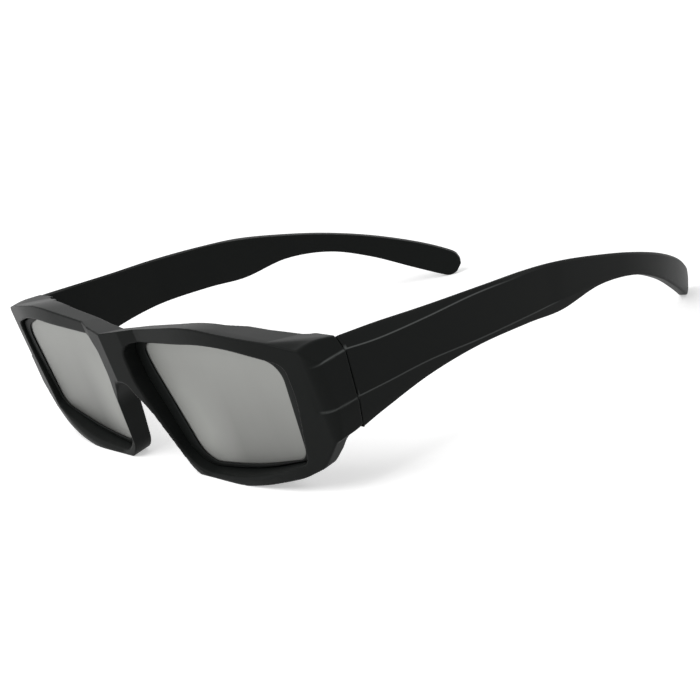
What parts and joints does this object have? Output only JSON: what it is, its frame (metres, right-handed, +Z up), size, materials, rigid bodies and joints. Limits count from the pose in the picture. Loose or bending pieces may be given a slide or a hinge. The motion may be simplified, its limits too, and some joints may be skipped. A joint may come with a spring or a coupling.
{
  "type": "eclipse glasses",
  "caption": "Wrap-around eclipse glasses: a black moulded front with silver solar filter film in lens rings, and two curved folding temples on hinge pins.",
  "frame": {"origin": "centre of the footprint on the floor, under the middle plane", "axes": "+X towards the wearer's left, +Y from the front back towards the temple tips, +Z up, with the glasses standing on the lens rims and the temple tips"},
  "size_m": [0.1458, 0.164, 0.0435],
  "materials": {
    "black_plastic": "satin black injection-moulded plastic with a fine even grain",
    "filter_film": "soft silver-grey metallised solar filter film",
    "pin_steel": "plain turned steel"
  },
  "bodies": {
    "front": {"front_frame": "black_plastic", "lens_ring_left": "black_plastic", "lens_ring_right": "black_plastic", "filter_left": "filter_film", "filter_right": "filter_film", "hinge_pin_left": "pin_steel", "hinge_pin_right": "pin_steel"},
    "left_temple": {"temple_left": "black_plastic"},
    "right_temple": {"temple_right": "black_plastic"}
  },
  "joints": [
    {"name": "left_temple_fold", "type": "hinge", "parent": "front", "child": "left_temple", "pos_m": [0.0651, -0.05705, 0.03673], "axis": [0, -0.0469, 0.9989], "range_deg": [0, 84]},
    {"name": "right_temple_fold", "type": "hinge", "parent": "front", "child": "right_temple", "pos_m": [-0.0651, -0.05705, 0.03673], "axis": [0, 0.0469, -0.9989], "range_deg": [0, 74]}
  ]
}
